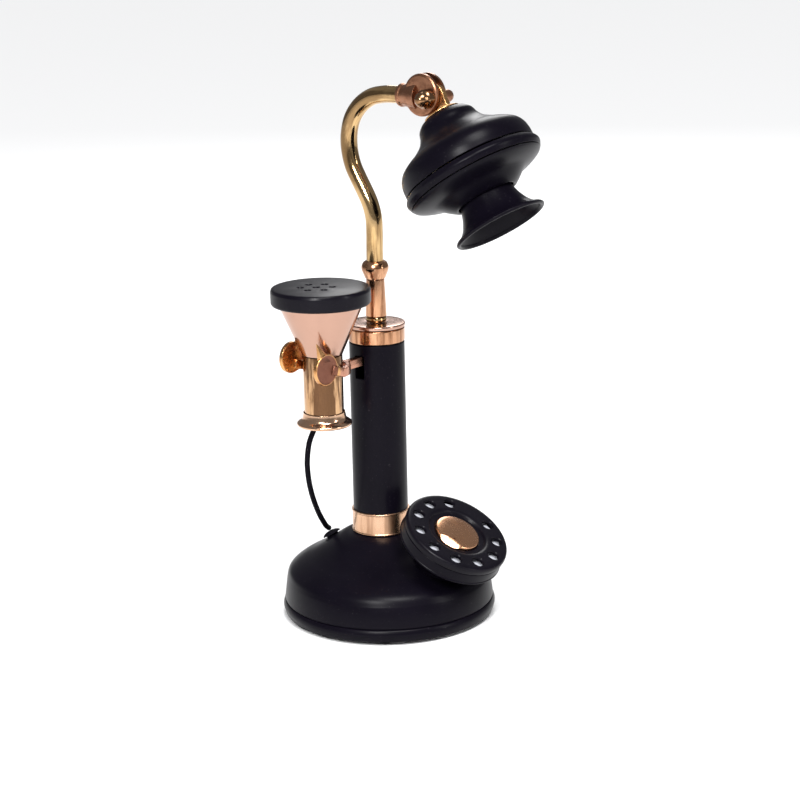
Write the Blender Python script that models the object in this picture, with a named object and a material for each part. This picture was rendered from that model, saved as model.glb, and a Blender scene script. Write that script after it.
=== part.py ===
"""Upright "candlestick" telephone with a rotary dial, modelled piece by piece.

Lengths below are millimetres. +Z is up, the dial and mouthpiece face -Y, the receiver hangs on the -X side,
and the origin is the centre of the base on the surface that its feet stand on.
"""

from math import cos, hypot, pi, radians, sin

import bmesh
import bpy
from mathutils import Matrix, Vector

MM = 0.001
GAP = 0.3  # left between pieces that touch

# Driving dimensions
BASE_RADIUS = 47.62
BASE_TOP = 36.9
DOME_FOOT = 16.4  # where the dome meets the skirt
SHELL_WALL = 1.8
FOOT_RADIUS, FOOT_CIRCLE = 4.4, 39.4
FOOT_ANGLES = (-143, -73, 37, 107)
BASE_SCREW_POSTS = {-108: 20.8, 72: 22.2}  # per screw: its angle and the top of its post
BASE_SCREW_CIRCLE = 38.6

COLUMN_Y = 3.8  # the column stands this far behind the base's centre
COLUMN_RADIUS, COLUMN_BORE = 12.2, 10.6
COLUMN_BOTTOM, COLUMN_TOP = 37.2, 123.5
SLOT_BOTTOM, SLOT_TOP, SLOT_WIDTH = 108.4, 118.9, 5.2

TUBE_RADIUS, TUBE_BORE = 3.7, 2.7
PIVOT_REACH, PIVOT_HEIGHT = 34.2, 231.1  # forward of the column's axis, and up
CHEEK_REACH, CHEEK_HEIGHT, CHEEK_RADIUS, CHEEK_WIDTH = 29.6, 232.3, 8.9, 7.0
TONGUE_WIDTH = 2.6
TRANSMITTER_TILT = 34.2  # degrees from straight down towards the front
MOUTH_REACH = 61.1  # from the pivot to the mouthpiece's rim

RECEIVER_X = -35.8
RECEIVER_RISE = 42  # degrees: the way that the receiver leaves its hook
HOOK_PIVOT_X, HOOK_PIVOT_Z = 2.0, 116.6
FORK_REACH = 44.5  # fork discs' centres, from the column's axis
FORK_DISC_RADIUS = 6.4
FORK_TIPS = {  # per side: the disc's spread and height, the X span of its spike's foot, and the spike's tip
    -1: {"spread": 10.2, "height": 121.0, "foot": (-3.4, 3.9), "tip": (-3.2, -9.7, 14.0)},
    1: {"spread": 11.8, "height": 122.8, "foot": (0.6, 5.0), "tip": (4.5, 13.7, 12.0)},
}

DIAL_REACH, DIAL_HEIGHT = 43.7, 44.0  # the finger wheel's face, forward of the column's axis, and up
DIAL_TILT = 30.6
WHEEL_RADIUS, WHEEL_THICKNESS = 23.7, 3.2
HOLE_COUNT, HOLE_CIRCLE, HOLE_RADIUS = 10, 18.6, 2.25
FIRST_HOLE, HOLE_STEP = 54.5, 33.0  # degrees round the wheel
SHAFT_RADIUS = 2.0
GEAR_TEETH, PINION_TEETH, GEAR_MODULE = 30, 10, 0.6

CORD_RADIUS = 1.2
GROMMET = Vector((-7.0, 27.0, 31.1))
GROMMET_LEAN = 30
CORD_ROUTE = (
    (-36.3, 8.8, 93.0),
    (-36.7, 9.6, 89.8),
    (-37.7, 11.4, 84.4),
    (-38.0, 12.6, 76.5),
    (-36.5, 13.8, 69.5),
    (-33.7, 15.4, 62.8),
    (-29.0, 17.8, 55.1),
    (-21.5, 21.6, 46.0),
    (-14.4, 25.1, 39.1),
    (-10.5, 27.4, 36.2),
    (-7.4, 28.7, 34.2),
)

FINISHES = {
    "black_enamel": ((0.022, 0.022, 0.026), 0.42, 0.0),
    "black_plastic": ((0.02, 0.02, 0.022), 0.5, 0.0),
    "rubber": ((0.018, 0.018, 0.018), 0.8, 0.0),
    "rose_gold": ((0.86, 0.52, 0.40), 0.12, 1.0),
    "copper": ((0.78, 0.43, 0.28), 0.3, 1.0),
    "antique_copper": ((0.45, 0.24, 0.14), 0.42, 1.0),
    "brass": ((0.80, 0.60, 0.32), 0.14, 1.0),
    "steel": ((0.55, 0.55, 0.56), 0.35, 1.0),
    "iron": ((0.16, 0.16, 0.17), 0.6, 1.0),
    "card": ((0.72, 0.72, 0.74), 0.6, 0.0),
    "board": ((0.05, 0.2, 0.09), 0.5, 0.0),
}

made_finishes = {}


def clear_scene():
    for obj in list(bpy.data.objects):
        bpy.data.objects.remove(obj, do_unlink=True)


def finish_material(name):
    if name not in made_finishes:
        colour, roughness, metallic = FINISHES[name]
        material = bpy.data.materials.new(name)
        material.use_nodes = True
        shader = material.node_tree.nodes["Principled BSDF"]
        shader.inputs["Base Color"].default_value = (*colour, 1.0)
        shader.inputs["Roughness"].default_value = roughness
        shader.inputs["Metallic"].default_value = metallic
        made_finishes[name] = material
    return made_finishes[name]


# ---- frames --------------------------------------------------------------------------------------


def frame(origin, up=(0, 0, 1), side=(1, 0, 0)):
    """A frame with its Z along up and its X as near side as it can be, at a place in millimetres."""
    z = Vector(up).normalized()
    x = (Vector(side) - z * Vector(side).dot(z)).normalized()
    y = z.cross(x)
    turn = Matrix((x, y, z)).transposed().to_4x4()
    return Matrix.Translation(Vector(origin) * MM) @ turn


def empty(name, place):
    pivot = bpy.data.objects.new(name, None)
    pivot.empty_display_size = 0.01
    pivot.matrix_world = place
    bpy.context.scene.collection.objects.link(pivot)
    return pivot


def add_object(name, bm, finish, place, pivot=None, smooth_angle=40):
    bmesh.ops.recalc_face_normals(bm, faces=bm.faces)
    mesh = bpy.data.meshes.new(name)
    bm.to_mesh(mesh)
    bm.free()
    mesh.shade_smooth()
    mesh.set_sharp_from_angle(angle=radians(smooth_angle))
    obj = bpy.data.objects.new(name, mesh)
    obj.data.materials.append(finish_material(finish))
    bpy.context.scene.collection.objects.link(obj)
    obj.matrix_world = place
    if pivot:
        obj.parent = pivot
        obj.matrix_parent_inverse = pivot.matrix_world.inverted()
    return obj


def as_helper(obj):
    obj.hide_render = True
    obj.display_type = "WIRE"
    return obj


def boolean(obj, helper, operation):
    modifier = obj.modifiers.new(operation.lower(), "BOOLEAN")
    modifier.operation = operation
    modifier.solver = "EXACT"
    modifier.object = as_helper(helper)


def cut(obj, *helpers):
    for helper in helpers:
        boolean(obj, helper, "DIFFERENCE")


def join(obj, *helpers):
    for helper in helpers:
        boolean(obj, helper, "UNION")


# ---- outlines ------------------------------------------------------------------------------------


def through(points, count):
    """count points of a smooth curve through a few hand-placed points."""
    ends = [2 * Vector(points[0]) - Vector(points[1]), 2 * Vector(points[-1]) - Vector(points[-2])]
    knots = [ends[0], *map(Vector, points), ends[1]]
    spans = len(points) - 1
    result = []
    for i in range(count):
        place = spans * i / (count - 1)
        k = min(int(place), spans - 1)
        t = place - k
        a, b, c, d = knots[k : k + 4]
        bend = (2 * a - 5 * b + 4 * c - d) * t**2 + (3 * b - a - 3 * c + d) * t**3
        result.append(0.5 * (2 * b + (c - a) * t + bend))
    return [tuple(point) for point in result]


def inward(outline, wall):
    """The outline moved to its right, which is the material side of an outline drawn top to bottom."""
    moved = []
    for i, point in enumerate(outline):
        before, after = outline[max(i - 1, 0)], outline[min(i + 1, len(outline) - 1)]
        dx, dz = after[0] - before[0], after[1] - before[1]
        length = hypot(dx, dz)
        moved.append((point[0] + wall * dz / length, point[1] - wall * dx / length))
    return moved


def walled(outline, wall, keep=3):
    """The outline with its inner wall, which keeps its ends and one point in each few of those between."""
    inner = inward(outline, wall)
    return list(outline) + [inner[-1], *inner[-2:0:-keep], inner[0]]


def turned_mesh(outline, steps):
    """The (radius, height) outline turned round Z. It is a closed ring unless it starts on the axis."""
    bm = bmesh.new()
    verts = [bm.verts.new((r * MM, 0, z * MM)) for r, z in outline]
    pairs = list(zip(verts, verts[1:]))
    if outline[0][0] > 0:
        pairs.append((verts[-1], verts[0]))
    edges = [bm.edges.new(pair) for pair in pairs]
    bmesh.ops.spin(bm, geom=verts + edges, cent=(0, 0, 0), axis=(0, 0, 1), angle=2 * pi, steps=steps)
    bmesh.ops.remove_doubles(bm, verts=bm.verts, dist=1e-6)
    return bm


def turned(name, outline, finish, place, steps=32, pivot=None):
    return add_object(name, turned_mesh(outline, steps), finish, place, pivot)


def tube_outline(outer, inner, low, high):
    return [(outer, low), (outer, high), (inner, high), (inner, low)]


def rod(name, radius, low, high, finish, place, steps=16, pivot=None):
    return turned(name, [(0, low), (radius, low), (radius, high), (0, high)], finish, place, steps, pivot)


def bar(name, low, high, finish, place, pivot=None):
    """A block between two corners."""
    bm = bmesh.new()
    bmesh.ops.create_cube(bm, size=1.0)
    low, high = Vector(low) * MM, Vector(high) * MM
    for vert in bm.verts:
        vert.co = Vector((low[i] + (high[i] - low[i]) * (vert.co[i] + 0.5) for i in range(3)))
    return add_object(name, bm, finish, place, pivot)


def prism(name, outline, low, high, finish, place, pivot=None, hole=None):
    """A flat outline of (x, y) points raised from low to high, with an optional round hole on its Z axis."""
    bm = bmesh.new()
    face = bm.faces.new([bm.verts.new((x * MM, y * MM, low * MM)) for x, y in outline])
    raised = bmesh.ops.extrude_face_region(bm, geom=[face])["geom"]
    top = [item for item in raised if isinstance(item, bmesh.types.BMVert)]
    bmesh.ops.translate(bm, verts=top, vec=(0, 0, (high - low) * MM))
    obj = add_object(name, bm, finish, place, pivot, smooth_angle=20)
    if hole:
        cut(obj, rod(f"{name}_hole", hole, low - 1, high + 1, finish, place, 16, pivot))
    return obj


def hexagon(radius):
    return [(radius * cos(radians(60 * i)), radius * sin(radians(60 * i))) for i in range(6)]


def gear_outline(teeth, phase, tip=0.42, root=0.62, tip_share=0.13, root_share=0.27):
    """Straight-flanked teeth, a little thin, with a tooth centred at the phase angle in degrees."""
    pitch_radius = teeth * GEAR_MODULE / 2
    step = 2 * pi / teeth
    points = []
    for i in range(teeth):
        centre = radians(phase) + i * step
        for radius, share in (
            (pitch_radius - root, -root_share),
            (pitch_radius + tip, -tip_share),
            (pitch_radius + tip, tip_share),
            (pitch_radius - root, root_share),
        ):
            points.append((radius * cos(centre + share * step), radius * sin(centre + share * step)))
    return points


def swept_tube(name, path, outer, inner, finish, place, steps=16, pivot=None):
    """A hollow tube along a path that stays in the frame's YZ plane."""
    points = [Vector(point) for point in path]
    across = Vector((1, 0, 0))
    bm = bmesh.new()
    rings = {outer: [], inner: []}
    for i, point in enumerate(points):
        along = (points[min(i + 1, len(points) - 1)] - points[max(i - 1, 0)]).normalized()
        over = across.cross(along)
        for radius, ring in rings.items():
            angles = [2 * pi * k / steps for k in range(steps)]
            rim = [point + radius * (cos(a) * across + sin(a) * over) for a in angles]
            ring.append([bm.verts.new(corner * MM) for corner in rim])
    walls = [(low, high) for ring in rings.values() for low, high in zip(ring, ring[1:])]
    walls += [(rings[outer][end], rings[inner][end]) for end in (0, -1)]
    for low, high in walls:
        for k in range(steps):
            bm.faces.new((low[k], low[k - 1], high[k - 1], high[k]))
    return add_object(name, bm, finish, place, pivot)


# ---- the base ------------------------------------------------------------------------------------

WORLD = Matrix.Identity(4)


def polar(angle, radius, z=0.0):
    return Vector((radius * cos(radians(angle)), radius * sin(radians(angle)), z))


def base_outline():
    flare = [(13.4, BASE_TOP), (15.5, 36.4), (17.5, 35.6), (20.0, 34.2), (24.0, 31.7), (28.6, 29.2)]
    shoulder = [(33.0, 26.9), (37.0, 25.0), (41.1, 22.6), (44.2, 20.0), (45.7, DOME_FOOT)]
    dome = through([*flare, *shoulder], 9)
    skirt_and_groove = [(46.8, 7.5), (46.2, 7.0)]
    lip = through([(47.0, 6.4), (BASE_RADIUS, 4.4), (46.9, 1.5)], 4)
    return [(0, BASE_TOP), *dome, *skirt_and_groove, *lip]


def lean_back(shell):
    """The dome's rings move back with their height, so that the flare at the top is centred on the column."""
    for vertex in shell.data.vertices:
        share = (vertex.co.z / MM - DOME_FOOT) / (BASE_TOP - DOME_FOOT)
        vertex.co.y += COLUMN_Y * MM * min(max(share, 0), 1)


def make_base():
    shell = turned("base_shell", walled(base_outline(), SHELL_WALL), "black_enamel", WORLD, 32)
    lean_back(shell)
    cut(shell, rod("column_hole", 8.2, 30, 40, "black_enamel", column_frame(), 18))
    for angle, post_top in BASE_SCREW_POSTS.items():
        post = frame(polar(angle, BASE_SCREW_CIRCLE))
        join(shell, rod(f"screw_post_{angle}", 2.9, 3.7, post_top, "black_enamel", post, 12))
        cut(shell, rod(f"screw_post_hole_{angle}", 1.4, 3.0, 16, "black_enamel", post, 12))
    jack_place = frame((0, 46, 11.8))
    cut(shell, bar("jack_window", (-6.1, -6, -4.1), (6.1, 4, 4.1), "black_enamel", jack_place))
    cut(shell, rod("grommet_hole", 3.1, -6, 6, "black_enamel", grommet_frame(), 16))
    cut(shell, rod("dial_hole", 12.4, -34, -9, "black_enamel", dial_frame(), 20))

    dished = [(0, 1.2), (31.6, 1.2), (32.6, 2.2), (44.2, 2.2), (44.2, 3.4), (32.2, 3.4), (31.2, 2.4), (0, 2.4)]
    plate = turned("base_plate", dished, "steel", WORLD, 24)
    for number, angle in enumerate(FOOT_ANGLES, 1):
        place = frame(polar(angle, FOOT_CIRCLE))
        cut(plate, rod(f"foot_hole_{number}", 2.0, 1, 5, "steel", place, 12))
        pad = [(0, 0), (3.9, 0), (FOOT_RADIUS, 0.5), (FOOT_RADIUS, 1.9)]
        foot = [*pad, (1.7, 1.9), (1.7, 3.7), (2.6, 3.7), (1.9, 5.2), (0, 5.2)]
        turned(f"rubber_foot_{number}", foot, "rubber", place, 12)
    for number, angle in enumerate(BASE_SCREW_POSTS, 1):
        place = frame(polar(angle, BASE_SCREW_CIRCLE))
        cut(plate, rod(f"screw_hole_{number}", 1.4, 1, 5, "steel", place, 12))
        screw = [(0, 0.9), (1.7, 1.0), (2.3, 1.9), (1.1, 1.9), (1.1, 9.5), (0, 9.5)]
        turned(f"base_screw_{number}", screw, "steel", place, 12)
    turned("base_weight", tube_outline(30.6, 12.0, 2.7, 9.5), "iron", WORLD, 24)
    turned("circuit_board", tube_outline(27.0, 9.0, 10.4, 12.0), "board", WORLD, 24)
    rod("ringer_sounder", 7.0, 12.3, 16.6, "black_plastic", frame((-17.5, 3, 0)), 20)

    jack = bar("line_jack", (-5.8, -12, -3.8), (5.8, -0.6, 3.8), "black_plastic", jack_place)
    cut(jack, bar("jack_socket", (-4.8, -10, -2.9), (4.8, 2, 2.9), "black_plastic", jack_place))


def grommet_frame():
    outward = Vector((GROMMET.x, GROMMET.y, 0)).normalized()
    lean = radians(GROMMET_LEAN)
    return frame(GROMMET, outward * sin(lean) + Vector((0, 0, cos(lean))))


def make_grommet():
    dome = through([(4.3, 0.5), (3.9, 1.3), (2.6, 2.0), (1.4, 2.3)], 4)
    inner = [(0, -4.4), (3.9, -4.4), (3.9, -3.5), (2.8, -3.2), (2.8, 0.5)]
    turned("cord_grommet", [*inner, *dome, (0, 2.3)], "rubber", grommet_frame(), 16)


# ---- the column and its fittings -----------------------------------------------------------------


def column_frame():
    return frame((0, COLUMN_Y, 0))


def make_column():
    place = column_frame()
    plug = [(4.5, 26.0), (7.9, 26.0), (7.9, 37.4), (10.3, 37.4), (10.3, 45.5), (4.5, 45.5)]
    turned("column_plug", plug, "steel", place, 18)
    prism("column_nut", hexagon(12.5), 29.0, 33.4, "steel", place, hole=8.2)
    collar = [(12.5, 37.2), (12.95, 37.2), (12.95, 47.3), (12.5, 47.3)]
    turned("lower_collar", collar, "copper", place, 32)
    tube_walls = tube_outline(COLUMN_RADIUS, COLUMN_BORE, COLUMN_BOTTOM, COLUMN_TOP)
    tube = turned("column_tube", tube_walls, "black_enamel", place, 32)
    half = SLOT_WIDTH / 2
    cut(tube, bar("arm_slot", (-15, -half, SLOT_BOTTOM), (-8, half, SLOT_TOP), "black_enamel", place))
    band = [(12.4, 123.8), (12.4, 130.0), (8.5, 130.0), (8.5, 120.8), (10.3, 120.8), (10.3, 123.8)]
    turned("cap_band", band, "rose_gold", place, 32)
    disc = [(2.7, 130.3), (12.7, 130.3), (12.7, 131.7), (12.4, 132.0), (2.7, 132.0)]
    turned("cap_disc", disc, "rose_gold", place, 32)
    prism("stem_nut", hexagon(4.8), 126.8, 130.0, "steel", place, hole=2.6)
    boss = [(2.7, 132.3), (4.3, 132.3), (4.6, 133.0), (4.6, 133.8), (4.2, 134.5), (2.7, 134.5)]
    turned("stem_boss", boss, "brass", place, 18)
    cone = [(1.3, 124.8), (2.3, 124.8), (2.3, 134.8), (4.65, 134.8), (4.0, 151.0), (1.3, 151.0)]
    turned("stem_cone", cone, "rose_gold", place, 18)
    urn = through([(4.3, 151.3), (4.9, 152.6), (6.0, 155.9), (5.3, 158.3), (4.1, 159.2)], 6)
    socket = [(4.0, 159.2), (4.0, 153.0), (1.3, 153.0), (1.3, 151.3)]
    turned("stem_bead", [*urn, *socket], "rose_gold", place, 20)


def forward(reach, z):
    """A place on the plane of symmetry, by its distance in front of the column's axis."""
    return Vector((0, COLUMN_Y - reach, z))


def make_gooseneck():
    reach_and_height = [
        (0, 153.3), (0, 163), (0.2, 171.5), (-0.1, 178.0), (-1.9, 184.0), (-4.8, 189.2), (-8.0, 194.3),
        (-11.1, 199.9), (-12.8, 206.5), (-12.8, 213.2), (-10.7, 220.1), (-6.1, 225.8), (0.3, 229.7),
        (7.2, 231.2), (13.4, 231.5), (20.2, 231.5),
    ]
    path = through([forward(*point) for point in reach_and_height], 21)
    swept_tube("gooseneck_tube", path, TUBE_RADIUS, TUBE_BORE, "brass", WORLD, 12)


def pivot_point():
    return forward(PIVOT_REACH, PIVOT_HEIGHT)


def make_clevis():
    half = CHEEK_WIDTH / 2
    cheek_frame = frame(forward(CHEEK_REACH, CHEEK_HEIGHT), (1, 0, 0), (0, 1, 0))
    bolt_frame = frame(pivot_point(), (1, 0, 0), (0, 1, 0))
    edge = CHEEK_RADIUS - 0.5
    rim = [(CHEEK_RADIUS, -half + 0.5), (CHEEK_RADIUS, half - 0.5)]
    puck = [(0, -half), (edge, -half), *rim, (edge, half), (0, half)]
    cheeks = turned("neck_clevis", puck, "antique_copper", cheek_frame, 24)
    bore = [(0, 20.5), (4.0, 20.5), (4.0, 12.4)]
    socket = [*bore, (4.7, 12.6), (5.1, 13.6), (5.0, 17.0), (5.2, 27.5), (0, 27.5)]
    join(cheeks, turned("clevis_socket", socket, "antique_copper", frame(forward(0, 231.5), (0, -1, 0)), 18))
    gap = TONGUE_WIDTH / 2 + GAP
    slot_low, slot_high = (-gap, -16, -14), (gap, 7.4, 14)
    cut(cheeks, bar("clevis_slot", slot_low, slot_high, "antique_copper", frame(pivot_point())))
    cut(cheeks, rod("clevis_bolt_hole", 2.3, -9, 9, "antique_copper", bolt_frame, 16))

    head = [(2.8, half + GAP), (2.9, half + 5.4), (2.4, half + 6.9), (1.2, half + 7.6), (0, half + 7.8)]
    shank = [(0, -half - 4.1), (1.9, -half - 4.1), (1.9, half + GAP)]
    turned("pivot_bolt", [*shank, *head], "antique_copper", bolt_frame, 16)
    nut_place = frame(pivot_point() + Vector((-half, 0, 0)), (-1, 0, 0), (0, 1, 0))
    blind_bore = [(0, 5.0), (2.2, 5.0), (2.2, 0.3)]
    bullet = [(3.9, 0.3), (4.1, 0.9), (4.1, 3.3), (3.4, 4.3), (2.8, 5.9), (1.3, 7.5), (0, 7.8)]
    turned("acorn_nut", blind_bore + bullet, "antique_copper", nut_place, 16)


# ---- the transmitter -----------------------------------------------------------------------------


def transmitter_frame():
    """Its Z runs from the pivot to the mouth."""
    tilt = radians(TRANSMITTER_TILT)
    return frame(pivot_point(), (0, -sin(tilt), -cos(tilt)))


def make_transmitter():
    place = transmitter_frame()
    pivot = empty("transmitter_pivot", frame(pivot_point()))
    across = frame(pivot_point(), (1, 0, 0), (0, 1, 0))
    half = TONGUE_WIDTH / 2

    flange = [(0, 6.9), (7.5, 6.9), (7.9, 7.2), (7.9, 7.7), (2.2, 7.7), (2.2, 13.0), (0, 13.0)]
    lug = turned("transmitter_lug", flange, "antique_copper", place, 20, pivot)
    join(lug, bar("tongue", (-half, -5.4, 0.2), (half, 5.4, 7.3), "antique_copper", place, pivot))
    join(lug, rod("tongue_eye", 6.2, -half, half, "antique_copper", across, 20, pivot))
    cut(lug, rod("tongue_hole", 2.3, -6, 6, "antique_copper", across, 16, pivot))

    hips = [(10.3, 9.0), (12.3, 11.1), (13.4, 14.1), (15.5, 17.0), (19.7, 20.0), (23.5, 22.0), (26.7, 24.2)]
    back = [(2.6, 8.0), (8.4, 8.0), *through([*hips, (28.5, 26.9), (29.2, 30.0), (29.3, 33.3)], 11)]
    turned("transmitter_back_shell", walled(back, -1.4), "black_enamel", place, 28, pivot)
    lip = [*through([(29.4, 33.6), (30.65, 36.0), (29.8, 38.4)], 5), (27.9, 38.4), (27.9, 33.6)]
    turned("transmitter_face_ring", lip, "black_enamel", place, 28, pivot)
    dish = through([(29.6, 38.7), (28.4, 39.8), (25.4, 41.2), (21.4, 42.5)], 4)
    step = through([(20.4, 42.9), (18.9, 43.9), (15.8, 46.4), (13.6, 47.8), (12.7, 47.5)], 5)
    behind = [(12.4, 45.2), (9.5, 45.2), (9.5, 43.9), (18.4, 42.4), (25.5, 39.8), (27.9, 38.7)]
    turned("transmitter_faceplate", dish + step + behind, "black_enamel", place, 28, pivot)
    flare = through([(11.8, 46.5), (12.2, 49.0), (13.4, 52.6), (15.6, 56.6), (18.4, 59.3)], 6)
    rim = [(19.6, 59.7), (20.1, 60.3), (19.7, MOUTH_REACH), (18.9, MOUTH_REACH)]
    throat = through([(17.6, 59.5), (14.5, 56.3), (12.1, 52.5), (10.3, 48.8), (8.0, 45.3)], 5)
    spigot = [(8.0, 43.3), (9.2, 43.3), (9.2, 45.5), (11.9, 45.5)]
    turned("mouthpiece_horn", spigot + flare + rim + throat, "black_enamel", place, 26, pivot)
    grille = rod("mouthpiece_grille", 7.7, 43.7, 44.8, "black_plastic", place, 20, pivot)
    for i in range(6):
        side = polar(60 * i, 4.6) * MM
        hole_place = place @ Matrix.Translation(side)
        cut(grille, rod(f"grille_hole_{i}", 1.1, 43, 46, "black_plastic", hole_place, 8, pivot))
    rod("microphone_diaphragm", 24.2, 39.0, 39.4, "steel", place, 24, pivot)
    button = [(13.0, 38.0), (4.0, 38.0), (4.0, 38.7), (0, 38.7)]
    capsule = [(0, 31.0), (9.0, 31.0), (9.0, 33.0), (13.0, 33.5), *button]
    turned("microphone_capsule", capsule, "brass", place, 20, pivot)
    bar("capsule_bridge", (-26.3, -4.5, 29.1), (26.3, 4.5, 30.7), "brass", place, pivot)


# ---- the receiver --------------------------------------------------------------------------------


def receiver_frame():
    return frame((RECEIVER_X, COLUMN_Y, 0))


def make_receiver():
    place = receiver_frame()
    rise = radians(RECEIVER_RISE)
    pivot = empty("receiver_slide", frame((RECEIVER_X, COLUMN_Y, 94), (-cos(rise), 0, sin(rise))))
    turned("receiver_tube", tube_outline(8.5, 7.3, 95.3, 124.4), "rose_gold", place, 28, pivot)
    cone = [(8.65, 124.7), (18.0, 146.2), (16.7, 146.2), (7.5, 124.7)]
    turned("receiver_cone", cone, "rose_gold", place, 28, pivot)
    cap = [(0, 152.8), (20.2, 152.8), (21.25, 151.8), (21.25, 147.1), (20.8, 146.5)]
    cap += [(17.2, 146.5), (17.2, 151.0)]
    ear_cap = turned("ear_cap", [*cap, (0, 151.0)], "black_plastic", place, 28, pivot)
    for i in range(7):
        centre = polar(60 * i, 6.0 if i else 0.0) * MM
        hole_place = place @ Matrix.Translation(centre)
        cut(ear_cap, rod(f"ear_hole_{i}", 1.4, 150, 154, "black_plastic", hole_place, 8, pivot))
    rod("receiver_diaphragm", 16.6, 149.8, 150.2, "steel", place, 20, pivot)
    bell = [(13.4, 141.0), (15.7, 146.4), (16.2, 147.0), (16.2, 149.4), (0, 149.4)]
    capsule = [(0, 100.0), (3.4, 100.0), (3.4, 141.0), *bell]
    turned("receiver_capsule", capsule, "steel", place, 18, pivot)
    flare = through([(11.8, 94.7), (11.0, 95.4), (9.7, 96.4), (9.2, 98.0), (9.0, 99.4)], 5)
    cup = [(0, 93.5), (11.4, 93.5), (11.8, 93.9), *flare, (8.8, 99.4), (8.8, 95.0), (0, 95.0)]
    flange = turned("receiver_end_flange", cup, "rose_gold", place, 24, pivot)
    exit_place = frame((CORD_ROUTE[0][0], CORD_ROUTE[0][1], 0))
    cut(flange, rod("cord_exit_hole", 2.05, 92, 96, "rose_gold", exit_place, 16, pivot))
    bush = [(0, 93.3), (1.75, 93.3), (1.75, 95.3), (2.1, 95.3), (2.1, 96.3), (0, 96.3)]
    turned("cord_bush", bush, "rubber", exit_place, 16, pivot)


# ---- the hook and its switch ---------------------------------------------------------------------


def make_hook():
    place = column_frame()
    hook_point = (HOOK_PIVOT_X, COLUMN_Y, HOOK_PIVOT_Z)
    pivot = empty("hook_pivot", frame(hook_point))
    across = frame(hook_point, (0, 1, 0))

    around_receiver = receiver_frame()
    yoke = tube_outline(11.9, 9.7, 116.0, 120.0)
    fork = turned("hook_fork", yoke, "antique_copper", around_receiver, 30, pivot)
    cut(fork, bar("yoke_opening", (-20, -14, 110), (0, 14, 130), "antique_copper", around_receiver, pivot))
    arm_end, tail_start = (HOOK_PIVOT_X, 1.8, 118.6), (HOOK_PIVOT_X, -1.5, 115.4)
    join(fork, bar("hook_arm", (-26.0, -1.8, 114.6), arm_end, "antique_copper", place, pivot))
    join(fork, rod("hook_eye", 3.2, -1.8, 1.8, "antique_copper", across, 20, pivot))
    join(fork, bar("hook_tail", tail_start, (8.4, 1.5, 117.6), "antique_copper", place, pivot))
    for side in (-1, 1):
        make_prong(fork, side, pivot)
    cut(fork, rod("hook_pin_hole", 1.5, -6, 6, "antique_copper", across, 16, pivot))

    rod("hook_pivot_pin", 1.2, -4.6, 4.6, "steel", across, 14)
    bracket = bar("switch_bracket", (-4.0, -4.4, 99.0), (6.6, 4.4, 119.5), "steel", place)
    cut(bracket, bar("bracket_channel", (-9, -3.3, 100.2), (12, 3.3, 125), "steel", place))
    cut(bracket, rod("bracket_pin_hole", 1.5, -6, 6, "steel", across, 14))
    make_hook_spring(frame((-3.0, COLUMN_Y, 0)))

    switch = bar("hook_switch", (1.2, -2.7, 120.0), (7.6, 2.7, 124.3), "black_plastic", place)
    plunger_place = frame((6.0, COLUMN_Y, 0))
    cut(switch, rod("plunger_hole", 1.2, 119, 122.8, "black_plastic", plunger_place, 12))
    slide = empty("plunger_slide", plunger_place)
    rod("switch_plunger", 0.9, 117.9, 121.6, "black_plastic", plunger_place, 12, slide)


def make_prong(fork, side, pivot):
    """A prong from the yoke's end out to a round tip that stands on edge, with a spike on top."""
    values = FORK_TIPS[side]
    face = values["spread"] * side
    prong_frame = frame((RECEIVER_X + 1.0, COLUMN_Y + side * 10.8, 117.9), (0, 1, 0), (-1, 0, 0.32))
    low, high = (-0.8, -2.0, -1.05), (7.5, 2.0, 1.05)
    join(fork, bar(f"prong_{side}", low, high, "antique_copper", prong_frame, pivot))
    disc_frame = frame((-FORK_REACH, COLUMN_Y + face, values["height"]), (0, 1, 0))
    disc = rod(f"prong_disc_{side}", FORK_DISC_RADIUS, -1.35, 1.35, "antique_copper", disc_frame, 24, pivot)
    join(fork, disc)
    spike_place = frame((-FORK_REACH, COLUMN_Y, values["height"]))
    back, front = values["foot"]
    foot = [(back, face - 1.2), (front, face - 1.2), (front, face + 1.2), (back, face + 1.2)]
    bm = bmesh.new()
    low = [bm.verts.new((x * MM, y * MM, 4.0 * MM)) for x, y in foot]
    tip = bm.verts.new(Vector(values["tip"]) * MM)
    bm.faces.new(low)
    for i in range(4):
        bm.faces.new((low[i - 1], low[i], tip))
    join(fork, add_object(f"prong_spike_{side}", bm, "antique_copper", spike_place, pivot))


def make_hook_spring(place):
    coils, radius, low, high, points_per_coil = 5, 2.1, 101.0, 113.9, 8
    count = coils * points_per_coil
    curve = bpy.data.curves.new("hook_spring", "CURVE")
    curve.dimensions = "3D"
    curve.bevel_depth = 0.35 * MM
    curve.bevel_resolution = 0
    curve.use_fill_caps = True
    spline = curve.splines.new("POLY")
    spline.points.add(count)
    for i, point in enumerate(spline.points):
        angle = 2 * pi * i / points_per_coil
        height = low + (high - low) * i / count
        point.co = (radius * cos(angle) * MM, radius * sin(angle) * MM, height * MM, 1)
    obj = bpy.data.objects.new("hook_spring", curve)
    curve.materials.append(finish_material("steel"))
    bpy.context.scene.collection.objects.link(obj)
    obj.matrix_world = place


# ---- the dial ------------------------------------------------------------------------------------


def dial_frame():
    """Its Z points out of the finger wheel's face, and its Y up the slope."""
    tilt = radians(DIAL_TILT)
    return frame(forward(DIAL_REACH, DIAL_HEIGHT), (0, -sin(tilt), cos(tilt)))


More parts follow.
